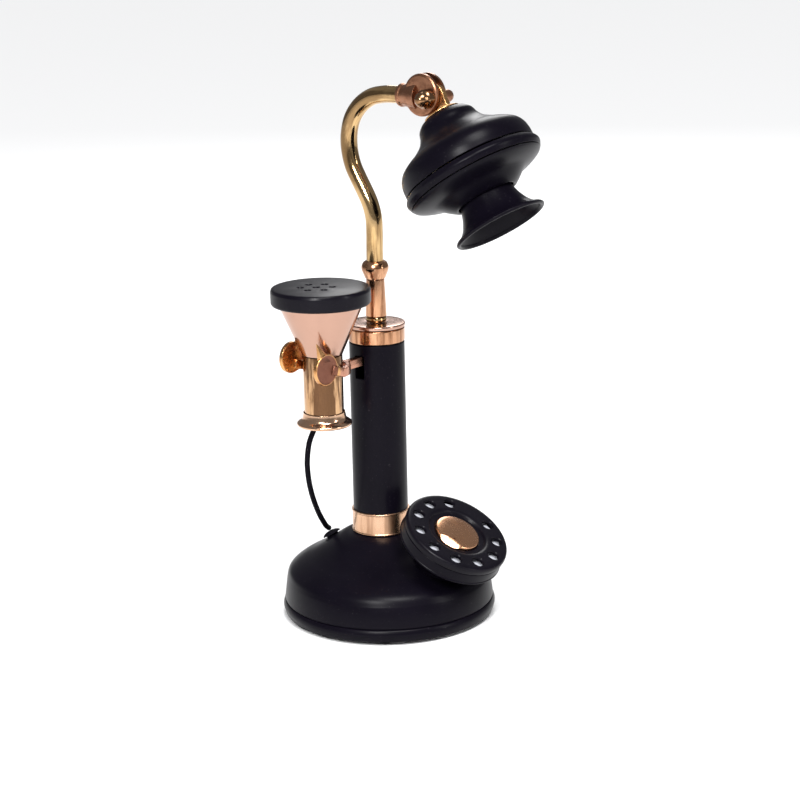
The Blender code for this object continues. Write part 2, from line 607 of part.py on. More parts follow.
def make_dial():
    place = dial_frame()
    pivot = empty("dial_axis", place)
    under = -WHEEL_THICKNESS
    rim = through([(22.4, 0), (23.3, -0.3), (WHEEL_RADIUS, -1.3), (23.5, -2.7), (22.9, under)], 5)
    face = [(2.3, -0.6), (12.9, -0.6), (13.8, 0), *rim, (2.3, under)]
    wheel = turned("finger_wheel", face, "black_enamel", place, 32, pivot)
    for i in range(HOLE_COUNT):
        centre = polar(FIRST_HOLE + HOLE_STEP * i, HOLE_CIRCLE) * MM
        hole_place = place @ Matrix.Translation(centre)
        cut(wheel, rod(f"finger_hole_{i}", HOLE_RADIUS, -5, 2, "black_enamel", hole_place, 10, pivot))
    dome = [(0, -0.3), (9.9, -0.3), *through([(9.9, 0.2), (9.2, 1.1), (6.2, 1.9), (3.0, 2.15)], 4), (0, 2.2)]
    turned("dial_centre_cap", dome, "copper", place, 24, pivot)
    shaft = rod("dial_shaft", SHAFT_RADIUS, -18.5, -0.65, "steel", place, 16, pivot)
    lobes = [polar(18 * i, 6.4 if i % 2 else 5.4)[:2] for i in range(2 * HOLE_COUNT)]
    join(shaft, prism("pulse_cam", lobes, -15.9, -14.7, "steel", place, pivot))
    prism("dial_gear", gear_outline(GEAR_TEETH, 0), -7.5, -6.3, "brass", place, pivot, hole=2.3)
    centre_distance = (GEAR_TEETH + PINION_TEETH) * GEAR_MODULE / 2
    spindle = place @ Matrix.Translation((centre_distance * MM, 0, 0))
    governor_pivot = empty("governor_axis", spindle)
    half_step = 180 / PINION_TEETH
    pinion = gear_outline(PINION_TEETH, 180 + half_step)
    governor = prism("governor", pinion, -7.5, -6.1, "brass", spindle, governor_pivot)
    join(governor, rod("governor_drum", 5.6, -9.1, -7.9, "brass", spindle, 16, governor_pivot))
    join(governor, rod("governor_hub", 1.6, -9.1, -6.4, "brass", spindle, 12, governor_pivot))

    floor = [(2.4, -5.4), (2.4, -4.3), (22.0, -4.3), (22.0, -3.6)]
    side = [(22.9, -3.6), (23.4, -4.2), (23.4, -7.9), (23.75, -8.5), (23.2, -9.4), (21.8, -9.4), (21.8, -5.4)]
    turned("dial_housing", floor + side, "black_enamel", place, 30)
    turned("number_plate", tube_outline(21.6, 12.0, -4.0, -3.6), "card", place, 28)
    flat = [(2.4, -10.9), (2.4, -9.7), (20.6, -9.7), (20.6, -10.7)]
    neck = [(12.0, -10.7), (12.0, -24.0), (10.4, -24.0), (10.4, -10.9)]
    turned("dial_mount", [*flat, *neck], "black_enamel", place, 22)
    turned("dial_return_spring", tube_outline(6.0, 2.6, -14.2, -11.3), "steel", place, 16)
    bar("pulse_contacts", (7.2, -2.0, -17.6), (9.8, 2.0, -13.0), "black_plastic", place)


# ---- the cord ------------------------------------------------------------------------------------


def make_cord():
    curve = bpy.data.curves.new("receiver_cord", "CURVE")
    curve.dimensions = "3D"
    curve.bevel_depth = CORD_RADIUS * MM
    curve.bevel_resolution = 2
    curve.use_fill_caps = True
    points = through(CORD_ROUTE, 15)
    spline = curve.splines.new("POLY")
    spline.points.add(len(points) - 1)
    for target, point in zip(spline.points, points):
        target.co = (*(Vector(point) * MM), 1)
    curve.materials.append(finish_material("rubber"))
    cord = bpy.data.objects.new("receiver_cord", curve)
    bpy.context.scene.collection.objects.link(cord)


def main():
    clear_scene()
    make_base()
    make_grommet()
    make_column()
    make_gooseneck()
    make_clevis()
    make_transmitter()
    make_receiver()
    make_hook()
    make_dial()
    make_cord()
    bpy.context.view_layer.update()


main()
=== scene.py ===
import math

import bmesh
import bpy
from mathutils import Matrix, Vector


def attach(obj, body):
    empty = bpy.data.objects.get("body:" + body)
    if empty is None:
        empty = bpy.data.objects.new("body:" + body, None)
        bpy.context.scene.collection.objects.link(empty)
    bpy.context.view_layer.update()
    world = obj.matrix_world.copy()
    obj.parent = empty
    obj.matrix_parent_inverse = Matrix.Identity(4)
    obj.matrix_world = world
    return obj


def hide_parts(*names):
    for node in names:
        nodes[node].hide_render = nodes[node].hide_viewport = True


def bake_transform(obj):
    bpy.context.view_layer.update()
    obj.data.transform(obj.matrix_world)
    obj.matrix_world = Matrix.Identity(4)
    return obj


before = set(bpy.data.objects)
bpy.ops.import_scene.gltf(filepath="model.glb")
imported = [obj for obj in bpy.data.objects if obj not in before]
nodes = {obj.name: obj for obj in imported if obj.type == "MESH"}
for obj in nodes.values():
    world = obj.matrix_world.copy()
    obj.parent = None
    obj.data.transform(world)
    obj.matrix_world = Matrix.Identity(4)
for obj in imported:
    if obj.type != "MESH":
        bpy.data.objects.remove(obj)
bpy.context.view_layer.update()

mm = 0.001
print("frame loaded:", len(nodes), "nodes")


# places and small helpers

def frameAt(origin, zAxis=(0, 0, 1), xAxis=(1, 0, 0)):
    z = Vector(zAxis).normalized()
    x = Vector(xAxis if abs(z.dot(xAxis)) < 0.9 else (0, 0, 1))
    x = (x - z * x.dot(z)).normalized()
    placed = Matrix((x, z.cross(x), z)).transposed().to_4x4()
    placed.translation = Vector(origin) * mm
    return placed


baseFrame = frameAt((0, 0, 0))
columnFrame = frameAt((0, 3.8, 0))
receiverFrame = frameAt((-35.8, 3.8, 0))
transmitterFrame = frameAt((0, -30.4, 231.1), (0, -0.5621, -0.8271))
pivotFrame = frameAt((0, -30.4, 231.1))
dialFrame = frameAt((0, -39.9, 44.0), (0, -0.509041, 0.860742))


def objectMode():
    if bpy.context.object and bpy.context.object.mode != "OBJECT":
        bpy.ops.object.mode_set(mode="OBJECT")
    bpy.ops.object.select_all(action="DESELECT")


def pick(piece):
    objectMode()
    piece.select_set(True)
    bpy.context.view_layer.objects.active = piece


def modify(piece, kind, **settings):
    pick(piece)
    bpy.ops.object.modifier_add(type=kind)
    modifier = piece.modifiers[-1]
    for key, value in settings.items():
        setattr(modifier, key, value)
    bpy.ops.object.modifier_apply(modifier=modifier.name)


def cut(piece, tools, operation="DIFFERENCE"):
    for tool in tools:
        modify(piece, "BOOLEAN", operation=operation, solver="EXACT", object=tool)
        pick(tool)
        bpy.ops.object.delete()


def mendNormals(piece):
    pick(piece)
    bpy.ops.object.mode_set(mode="EDIT")
    bpy.ops.mesh.select_all(action="SELECT")
    bpy.ops.mesh.remove_doubles(threshold=0.000002)
    bpy.ops.mesh.normals_make_consistent(inside=False)
    objectMode()


def applyPlace(piece, matrix):
    pick(piece)
    piece.matrix_world = matrix @ piece.matrix_world
    bpy.ops.object.transform_apply(location=True, rotation=True, scale=True)


def settle(piece, name, body, finish, replaced=(), matrix=None, smooth=32):
    if matrix is not None:
        applyPlace(piece, matrix)
    pick(piece)
    bpy.ops.object.shade_smooth_by_angle(angle=math.radians(smooth))
    piece.name = name
    piece.data.materials.clear()
    piece.data.materials.append(finish)
    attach(piece, body)
    if replaced:
        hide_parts(*replaced)
    return piece


def smoothRun(points, steps=6):
    ends = [tuple(2 * a - b for a, b in zip(points[0], points[1])),
            tuple(2 * a - b for a, b in zip(points[-1], points[-2]))]
    line = [ends[0], *points, ends[1]]
    run = []
    for i in range(1, len(line) - 2):
        p, q, r, s = line[i - 1:i + 3]
        for step in range(steps):
            t = step / steps
            run.append(tuple(
                0.5 * (2 * b + (c - a) * t + (2 * a - 5 * b + 4 * c - d) * t * t
                       + (3 * b - a - 3 * c + d) * t ** 3)
                for a, b, c, d in zip(p, q, r, s)))
    return run + [points[-1]]


def outlineOf(profile, softness, closed):
    line = []
    for item in profile:  # a list inside the profile is a run of points on one smooth curve
        if isinstance(item, list):
            run = smoothRun(item)
            line += [(point, 0 < i < len(run) - 1) for i, point in enumerate(run)]
        else:
            line.append((item, False))
    done = []
    for i, (corner, inRun) in enumerate(line):
        atEnd = not closed and i in (0, len(line) - 1)
        before = Vector(line[i - 1][0])
        after = Vector(line[(i + 1) % len(line)][0])
        here = Vector(corner)
        if inRun or atEnd or not softness or corner[0] < 0.001:
            done.append(here)
            continue
        toBefore, toAfter = before - here, after - here
        if toBefore.length < 1e-6 or toAfter.length < 1e-6:
            continue
        if toBefore.angle(-toAfter) < math.radians(18):
            done.append(here)
            continue
        reach = min(softness, 0.42 * toBefore.length, 0.42 * toAfter.length)
        first = here + toBefore.normalized() * reach
        last = here + toAfter.normalized() * reach
        for step in range(5):
            t = step / 4
            done.append(first * (1 - t) ** 2 + here * 2 * t * (1 - t) + last * t * t)
    return done


def turn(profile, steps=128, softness=0.3, closed=False, angle=math.tau):
    line = outlineOf(profile, softness, closed)
    if closed:
        line.append(line[0])
    objectMode()
    bpy.ops.mesh.primitive_plane_add(size=mm, location=(0, 0, 0))
    bpy.ops.object.mode_set(mode="EDIT")
    bpy.ops.mesh.select_all(action="SELECT")
    bpy.ops.mesh.merge(type="CENTER")
    bpy.ops.transform.translate(value=(line[0][0] * mm, 0, line[0][1] * mm))
    for here, there in zip(line, line[1:]):
        step = (there - here) * mm
        bpy.ops.mesh.extrude_vertices_move(TRANSFORM_OT_translate={"value": (step[0], 0, step[1])})
    bpy.ops.mesh.select_all(action="SELECT")
    bpy.ops.mesh.spin(steps=steps, angle=angle, center=(0, 0, 0), axis=(0, 0, 1))
    bpy.ops.mesh.select_all(action="SELECT")
    bpy.ops.mesh.remove_doubles(threshold=0.000002)
    bpy.ops.mesh.normals_make_consistent(inside=False)
    objectMode()
    return bpy.context.object


def block(lo, hi, soft=0.0, segments=3):
    objectMode()
    bpy.ops.mesh.primitive_cube_add(size=mm, location=[(a + b) / 2 * mm for a, b in zip(lo, hi)])
    bpy.ops.transform.resize(value=[b - a for a, b in zip(lo, hi)])
    bpy.ops.object.transform_apply(location=True, rotation=True, scale=True)
    piece = bpy.context.object
    if soft:
        bpy.ops.object.mode_set(mode="EDIT")
        bpy.ops.mesh.select_all(action="SELECT")
        bpy.ops.mesh.bevel(offset=soft * mm, segments=segments, affect="EDGES")
        objectMode()
    return piece


def moved(piece, matrix):
    applyPlace(piece, matrix)
    return piece


def joined(piece, *others):
    for other in others:
        cut(piece, [other], "UNION")
    mendNormals(piece)
    return piece


# camera

cameraValues = {"distance": 859.7, "height": 324.5, "lens": 90.87, "azimuth": -49.76,
                "pitch": 14.827, "roll": -1.224, "yaw": 0.446}


def addCamera(v):
    azimuth, pitch, roll, yaw = (math.radians(v[k]) for k in ("azimuth", "pitch", "roll", "yaw"))
    away = Vector((-math.sin(azimuth), math.cos(azimuth), 0))
    place = (Vector((0, 0, v["height"])) - away * v["distance"]) * mm
    heading = azimuth - yaw
    side = Vector((math.cos(heading), math.sin(heading), 0))
    ahead = Vector((-math.sin(heading), math.cos(heading), 0))
    forward = ahead * math.cos(pitch) - Vector((0, 0, math.sin(pitch)))
    upward = ahead * math.sin(pitch) + Vector((0, 0, math.cos(pitch)))
    right = side * math.cos(roll) + upward * math.sin(roll)
    above = upward * math.cos(roll) - side * math.sin(roll)
    objectMode()
    bpy.ops.object.camera_add(location=place)
    camera = bpy.context.object
    turned = Matrix((right, above, -forward)).transposed().to_4x4()
    turned.translation = place
    camera.matrix_world = turned
    camera.data.lens = v["lens"]
    camera.data.sensor_width = 36
    camera.data.clip_end = 50
    bpy.context.scene.camera = camera


addCamera(cameraValues)


# finishes

class Signal:
    def __init__(self, finish, socket):
        self.finish, self.socket = finish, socket

    def calc(self, operation, first, second):
        return self.finish.node("ShaderNodeMath", {"operation": operation}, {0: first, 1: second})

    def __add__(self, other):
        return self.calc("ADD", self, other)

    def __sub__(self, other):
        return self.calc("SUBTRACT", self, other)

    def __rsub__(self, other):
        return self.calc("SUBTRACT", other, self)

    def __mul__(self, other):
        return self.calc("MULTIPLY", self, other)

    def __pow__(self, other):
        return self.calc("POWER", self, other)

    def __gt__(self, other):
        return self.calc("GREATER_THAN", self, other)

    __radd__, __rmul__ = __add__, __mul__


class Finish:
    def __init__(self, name, **values):
        self.material = bpy.data.materials.new(name)
        self.material.use_nodes = True
        self.tree = self.material.node_tree
        self.shader = self.tree.nodes["Principled BSDF"]
        for key, value in values.items():
            self.feed(self.shader.inputs[key.replace("_", " ")], value)

    def feed(self, socket, value):
        if isinstance(value, Signal):
            self.tree.links.new(value.socket, socket)
        elif isinstance(value, (tuple, list)) and len(socket.default_value) == 4:
            socket.default_value = (*value[:3], 1)
        else:
            socket.default_value = value

    def node(self, kind, settings, inputs, output=0):
        made = self.tree.nodes.new(kind)
        for key, value in settings.items():
            if key == "stops":
                ramp = made.color_ramp.elements
                while len(ramp) < len(value):
                    ramp.new(0.5)
                for element, (place, colour) in zip(ramp, value):
                    element.position, element.color = place, (*colour, 1)
            else:
                setattr(made, key, value)
        for key, value in inputs.items():
            self.feed(made.inputs[key], value)
        return Signal(self, made.outputs[output])

    def place(self, scale=(1, 1, 1), centre=(0, 0, 0), turned=(0, 0, 0)):
        spot = self.node("ShaderNodeTexCoord", {}, {}, "Object")
        return self.node("ShaderNodeMapping", {"vector_type": "TEXTURE"},
                         {"Vector": spot, "Location": [c * mm for c in centre], "Rotation": turned,
                          "Scale": scale})

    def noise(self, size, detail=3.0, rough=0.5, spot=None):
        return self.node("ShaderNodeTexNoise", {},
                         {"Vector": spot or self.place(), "Scale": 1 / (size * mm), "Detail": detail,
                          "Roughness": rough})

    def ramp(self, value, *stops):
        return self.node("ShaderNodeMapRange", {"clamp": True},
                         {0: value, 1: stops[0], 2: stops[1], 3: 0.0, 4: 1.0})

    def mix(self, share, first, second):
        return self.node("ShaderNodeMix", {"data_type": "RGBA"}, {0: share, 6: first, 7: second}, 2)

    def bump(self, height, depth, strength=1.0):
        return self.node("ShaderNodeBump", {},
                         {"Height": height, "Distance": depth * mm, "Strength": strength})

    def paint(self, **values):
        for key, value in values.items():
            self.feed(self.shader.inputs[key.replace("_", " ")], value)
        return self.material


def blackFinish(name, v):
    f = Finish(name, Coat_Roughness=v["coatRoughness"], Coat_Weight=v["coat"], Specular_IOR_Level=v["gloss"])
    cloud = f.noise(v["cloud"], 3)
    grain = f.noise(v["grain"], 4, 0.6)
    speck = f.ramp(f.noise(0.9, 2), 0.68, 0.74)
    colour = f.mix(cloud, v["dark"], v["light"])
    colour = f.mix(speck * v["dust"], colour, (0.12, 0.11, 0.12))
    return f.paint(Base_Color=colour,
                   Roughness=v["rough"] + cloud * v["roughSpread"] + grain * 0.05,
                   Normal=f.bump(grain + cloud * 2.0, v["relief"]))


def metalFinish(name, v):
    f = Finish(name, Metallic=1.0)
    cloud = f.noise(v["cloud"], 4, 0.6)
    # stretched stain mask, mixed towards the dark tarnish colour: real stains on most metals, and on the gooseneck
    # brass and receiver tube painted reflection, dark streaks standing in for dark surroundings mirrored in the
    # metal
    stainAndReflection = f.ramp(f.noise(v["stainAndReflection"], 6, 0.65, f.place(v["stretch"])), *v["stainAndReflectionRange"])
    brushed = f.noise(1.0, 3, 0.6, f.place(v["brush"], v.get("centre", (0, 0, 0)), v.get("turned", (0, 0, 0))))
    pits = f.ramp(f.noise(v["pit"], 2, 0.5), 0.60, 0.72)
    colour = f.mix(cloud, v["deep"], v["pale"])
    colour = f.mix(stainAndReflection * v["stainAndReflectionShare"], colour, v["tarnishAndPaintedReflection"])
    colour = f.mix(brushed * v["brushShare"], colour, v["deep"])
    rough = v["rough"] + brushed * v["brushRough"] + stainAndReflection * v["stainAndReflectionRough"] + pits * 0.08
    return f.paint(Base_Color=colour, Roughness=rough,
                   Normal=f.bump(brushed * v["brushDepth"] - pits * v["pitDepth"], 0.02))


def plainFinish(name, v):
    f = Finish(name, Metallic=v.get("metal", 0.0))
    cloud = f.noise(v["cloud"], 3)
    grain = f.noise(v["grain"], 3, 0.6)
    colour = f.mix(cloud, v["dark"], v["light"])
    return f.paint(Base_Color=colour, Roughness=v["rough"] + grain * v.get("roughSpread", 0.15),
                   Normal=f.bump(grain, v["relief"]))


def forkFinish(name, v):
    f = Finish(name, Metallic=1.0)
    spot = f.node("ShaderNodeTexCoord", {}, {}, "Object")
    across = f.node("ShaderNodeVectorMath", {"operation": "SUBTRACT"},
                    {0: spot, 1: [c * mm for c in v["face"]]})
    flat = f.node("ShaderNodeVectorMath", {"operation": "MULTIPLY"}, {0: across, 1: (1, 0, 1)})
    away = f.node("ShaderNodeVectorMath", {"operation": "LENGTH"}, {0: flat}, "Value")
    side = f.node("ShaderNodeSeparateXYZ", {}, {"Vector": spot}, "Y")
    tall = f.node("ShaderNodeSeparateXYZ", {}, {"Vector": spot}, "Z")
    bright = f.ramp(away + (side > v["middle"] * mm) * 0.01, v["rim"] * mm, (v["rim"] + 0.35) * mm)
    bar = f.ramp(away, 7.0 * mm, 8.5 * mm) * (1 - f.ramp(tall, 124.6 * mm, 126 * mm))
    cloud = f.noise(v["cloud"], 5, 0.65)
    rubbed = f.ramp(f.noise(v["rub"], 4, 0.6), 0.45, 0.7)
    dull = f.mix(cloud, v["brown"], v["copper"])
    gold = f.mix(rubbed, v["gold"], v["orange"])
    return f.paint(Base_Color=f.mix(bar, f.mix(bright, dull, gold), v["bar"]),
                   Roughness=0.36 + cloud * 0.2 - bright * 0.2,
                   Normal=f.bump(cloud + rubbed * 0.4, 0.05))


blackValues = {"dark": (0.0016, 0.0012, 0.003), "light": (0.0042, 0.0032, 0.0066), "cloud": 22, "grain": 0.7,
               "rough": 0.24, "roughSpread": 0.10, "relief": 0.006, "dust": 0.12, "coat": 0.0, "gloss": 0.075,
               "coatRoughness": 0.18}
enamel = blackFinish("satinBlackEnamel", blackValues)
enamelWheel = blackFinish("dialBlackEnamel", {**blackValues, "rough": 0.36, "coat": 0.1, "cloud": 9})
plasticBlack = blackFinish("mouldedBlack", {**blackValues, "rough": 0.3, "grain": 0.45, "coat": 0.1,
                                            "relief": 0.008})
rubberBlack = blackFinish("rubberBlack", {**blackValues, "rough": 0.62, "roughSpread": 0.16, "coat": 0.0,
                                          "grain": 0.3, "relief": 0.03, "dust": 0.5})

metalValues = {"stretch": (1, 1, 1), "cloud": 14, "stainAndReflection": 9, "stainAndReflectionRange": (0.52, 0.72), "stainAndReflectionShare": 0.4, "brush": (1, 1, 0.06),
               "pit": 0.6, "brushShare": 0.25, "rough": 0.1, "brushRough": 0.06, "stainAndReflectionRough": 0.1,
               "brushDepth": 0.1, "pitDepth": 0.15}
roseGold = metalFinish("roseGoldPlate", {
    **metalValues, "deep": (0.44, 0.265, 0.20), "pale": (0.54, 0.33, 0.25), "tarnishAndPaintedReflection": (0.34, 0.19, 0.13),
    "stainAndReflectionShare": 0.22, "rough": 0.13, "cloud": 9})
roseGoldDeep = metalFinish("roseGoldFlange", {
    **metalValues, "deep": (0.58, 0.33, 0.19), "pale": (0.80, 0.54, 0.38), "tarnishAndPaintedReflection": (0.34, 0.16, 0.07),
    "stainAndReflection": 4, "stretch": (1, 1, 8), "stainAndReflectionShare": 0.5, "rough": 0.13})
copperRose = metalFinish("polishedCopper", {
    **metalValues, "deep": (0.46, 0.22, 0.11), "pale": (0.72, 0.42, 0.26), "tarnishAndPaintedReflection": (0.14, 0.055, 0.025),
    "stainAndReflection": 3, "stretch": (1, 1, 12), "stainAndReflectionRange": (0.46, 0.60), "stainAndReflectionShare": 0.75, "rough": 0.12})
copperBrushed = metalFinish("brushedCopper", {
    **metalValues, "deep": (0.50, 0.28, 0.16), "pale": (0.84, 0.57, 0.40), "tarnishAndPaintedReflection": (0.22, 0.09, 0.04),
    "stainAndReflection": 5, "stretch": (1, 1, 12), "stainAndReflectionRange": (0.50, 0.66), "stainAndReflectionShare": 0.6, "rough": 0.2,
    "brushShare": 0.45, "brushRough": 0.12, "brush": (1, 1, 0.04)})
# the dark streaks along the gooseneck are painted reflection: dark bands of mirrored surroundings painted into the
# brass colour
brassPolished = metalFinish("polishedBrass", {
    **metalValues, "deep": (0.50, 0.31, 0.12), "pale": (0.78, 0.55, 0.30), "tarnishAndPaintedReflection": (0.09, 0.04, 0.018),
    "stainAndReflection": 1.5, "stretch": (1, 16, 16), "stainAndReflectionRange": (0.44, 0.60), "stainAndReflectionShare": 0.7, "stainAndReflectionRough": 0.02,
    "brush": (0.3, 9, 9), "rough": 0.09, "brushRough": 0.04})
# the near-black vertical streaks on the receiver tube are painted reflection, standing in for dark things mirrored
# in the polished tube
tubeBronze = metalFinish("bronzeGoldTube", {
    **metalValues, "deep": (0.42, 0.22, 0.09), "pale": (0.76, 0.50, 0.30), "tarnishAndPaintedReflection": (0.045, 0.016, 0.010),
    "stainAndReflection": 7, "stretch": (1, 1, 9), "stainAndReflectionRange": (0.47, 0.53), "stainAndReflectionShare": 0.9, "stainAndReflectionRough": 0.05,
    "brush": (0.2, 0.2, 5.0), "rough": 0.13})
antique = metalFinish("antiqueCopper", {
    **metalValues, "deep": (0.22, 0.095, 0.05), "pale": (0.50, 0.25, 0.15), "tarnishAndPaintedReflection": (0.10, 0.04, 0.025),
    "cloud": 4, "stainAndReflection": 3, "stainAndReflectionRange": (0.46, 0.68), "stainAndReflectionShare": 0.6, "rough": 0.26, "stainAndReflectionRough": 0.2,
    "brush": (0.5, 0.5, 0.5), "brushDepth": 0.4, "pitDepth": 0.5, "brushShare": 0.4})
forkCopper = forkFinish("forkAntiqueCopper", {
    "face": (-45.5, -6.4, 121.0), "middle": 3.8, "rim": 6.1, "cloud": 5, "rub": 6, "bar": (0.50, 0.25, 0.17),
    "brown": (0.12, 0.042, 0.026), "copper": (0.30, 0.13, 0.085), "gold": (0.66, 0.36, 0.15),
    "orange": (0.42, 0.17, 0.06)})
bronzeDark = metalFinish("darkBronze", {
    **metalValues, "deep": (0.20, 0.10, 0.05), "pale": (0.44, 0.25, 0.13), "tarnishAndPaintedReflection": (0.08, 0.04, 0.02),
    "rough": 0.16, "cloud": 3})
goldLeaf = metalFinish("goldOrange", {
    **metalValues, "deep": (0.50, 0.25, 0.09), "pale": (0.80, 0.50, 0.24), "tarnishAndPaintedReflection": (0.22, 0.09, 0.035),
    "rough": 0.2, "cloud": 5, "stainAndReflection": 4})
domeCopper = metalFinish("peachCopperDome", {
    **metalValues, "deep": (0.62, 0.30, 0.15), "pale": (0.80, 0.47, 0.29), "tarnishAndPaintedReflection": (0.40, 0.16, 0.07),
    "rough": 0.2, "brush": (4.0, 0.25, 0.25), "brushShare": 0.3, "brushRough": 0.08, "cloud": 6,
    "pitDepth": 0.05})
steelPlate = metalFinish("zincSteel", {**metalValues, "deep": (0.42, 0.42, 0.43), "pale": (0.62, 0.62, 0.64),
                                       "tarnishAndPaintedReflection": (0.25, 0.25, 0.24), "rough": 0.26})
ironCast = plainFinish("castIron", {"dark": (0.05, 0.05, 0.052), "light": (0.12, 0.12, 0.12), "cloud": 5,
                                    "grain": 0.6, "rough": 0.55, "relief": 0.12, "metal": 0.7})
cardPale = plainFinish("dialCard", {"dark": (0.40, 0.41, 0.46), "light": (0.56, 0.57, 0.62), "cloud": 6,
                                    "grain": 0.2, "rough": 0.55, "relief": 0.01})
boardGreen = plainFinish("circuitBoardGreen", {"dark": (0.02, 0.10, 0.04), "light": (0.04, 0.17, 0.07),
                                               "cloud": 3, "grain": 0.4, "rough": 0.35, "relief": 0.02})
inkBlack = plainFinish("printedInk", {"dark": (0.02, 0.02, 0.02), "light": (0.04, 0.04, 0.04), "cloud": 1,
                                      "grain": 0.2, "rough": 0.5, "relief": 0.002})
slotFinish = {"black_enamel": enamel, "black_plastic": plasticBlack, "rubber": rubberBlack,
              "rose_gold": roseGold, "copper": copperBrushed, "antique_copper": antique,
              "brass": brassPolished, "steel": steelPlate, "iron": ironCast, "card": cardPale,
              "board": boardGreen}
for node in nodes.values():
    for index, slot in enumerate(node.material_slots):
        node.material_slots[index].material = slotFinish[slot.material.name.split(".")[0]]
nodes["receiver_diaphragm"].material_slots[0].material = rubberBlack
print("finishes made")


# cord

cordValues = {"diameter": 2.4, "route": [
    (-36.3, 8.8, 93.0), (-36.7, 9.6, 89.8), (-37.7, 11.4, 84.4), (-38.0, 12.6, 76.5), (-36.5, 13.8, 69.5),
    (-33.7, 15.4, 62.8), (-29.0, 17.8, 55.1), (-21.5, 21.6, 46.0), (-14.4, 25.1, 39.1), (-10.5, 27.4, 36.2),
    (-7.4, 28.7, 34.2)]}


def addCord(v):
    route = smoothRun(v["route"], 3)
    line = bpy.data.curves.new("receiver_cord_line", "CURVE")
    line.dimensions = "3D"
    spline = line.splines.new("POLY")
    spline.points.add(len(route) - 1)
    for point, place in zip(spline.points, route):
        point.co = (*(c * mm for c in place), 1)
    line.bevel_depth = v["diameter"] / 2 * mm
    line.bevel_resolution = 6
    line.use_fill_caps = True
    cord = bpy.data.objects.new("visual_receiver_cord", line)
    bpy.context.scene.collection.objects.link(cord)
    pick(cord)
    bpy.ops.object.convert(target="MESH")
    cord = bpy.context.object
    bpy.ops.object.shade_smooth_by_angle(angle=math.radians(40))
    cord.data.materials.append(rubberBlack)
    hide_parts("receiver_cord")
    [c * mm for c in route[0]]
    [[c * mm for c in p] for p in route]
    [c * mm for c in route[0]]
    [c * mm for c in route[-1]]
    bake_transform(cord)


addCord(cordValues)


# base

baseValues = {
    "shell": [(0, 36.9), [(13.4, 36.9), (15.5, 36.4), (17.5, 35.6), (20.0, 34.2), (24.0, 31.7), (28.6, 29.2),
                          (33.0, 26.9), (37.0, 25.0), (41.1, 22.6), (44.2, 20.0), (45.7, 16.4)],
              (46.8, 7.5), (46.2, 7.0), [(46.2, 7.0), (47.0, 6.4), (47.62, 4.4), (46.9, 1.5)],
              (45.1, 1.5), (45.0, 7.3), (43.9, 16.2), (42.5, 19.0), (40.0, 21.1), (36.2, 23.3), (32.2, 25.2),
              (27.8, 27.5), (23.1, 30.1), (19.2, 32.5), (16.9, 33.8), (14.9, 34.6), (13.2, 35.1), (0, 35.1)],
    "domeFoot": 16.4, "domeTop": 36.9, "leanBack": 3.8,
    "foot": [(0, 0), (3.9, 0), (4.4, 1.9), (2.2, 1.9), (2.2, 5.2), (0, 5.2)],
    "footAngles": (-143, -73, 37, 107), "footRadius": 40.2,
    "grommet": [(0, -4.4), (3.9, -4.4), (3.9, -3.5), (2.8, -3.2), (2.8, 0.5), (4.3, 0.5),
                [(4.3, 0.5), (3.9, 1.3), (2.6, 2.0), (1.4, 2.3)], (0, 2.3)],
    "grommetPlace": (-7.0, 27.0, 31.1), "lean": 30}


def addBase(v):
    shell = turn(v["shell"], 160, 0.4)
    for vertex in shell.data.vertices:  # the rings of the dome move back, to stand round the column at the top
        share = (vertex.co.z / mm - v["domeFoot"]) / (v["domeTop"] - v["domeFoot"])
        vertex.co.y += v["leanBack"] * mm * min(max(share, 0), 1)
    tools = [moved(turn([(0, 30), (8.2, 30), (8.2, 40), (0, 40)], 48, 0), columnFrame),
             moved(turn([(0, -24), (12.4, -24), (12.4, 6), (0, 6)], 64, 0), dialFrame)]
    lean = math.radians(v["lean"])
    place = v["grommetPlace"]
    outward = Vector((*place[:2], 0)).normalized() * math.sin(lean)
    grommetFrame = frameAt(place, (outward.x, outward.y, math.cos(lean)))
    tools.append(moved(turn([(0, -4), (3.1, -4), (3.1, 4), (0, 4)], 32, 0), grommetFrame))
    tools.append(block((-6.1, 38, 7.7), (6.1, 54, 15.9), 0.8))
    cut(shell, tools)
    mendNormals(shell)
    settle(shell, "visual_base_shell", "stand", enamel, ["base_shell"])
    settle(turn(v["grommet"], 64, 0.3), "visual_cord_grommet", "stand", rubberBlack,
           ["cord_grommet"], grommetFrame)
    for number, angle in enumerate(v["footAngles"], 1):
        turned = math.radians(angle)
        spot = frameAt((v["footRadius"] * math.cos(turned), v["footRadius"] * math.sin(turned), 0))
        settle(turn(v["foot"], 48, 0.4), "visual_rubber_foot_%d" % number, "stand", rubberBlack,
               ["rubber_foot_%d" % number], spot)
    print("base made")


addBase(baseValues)


# column

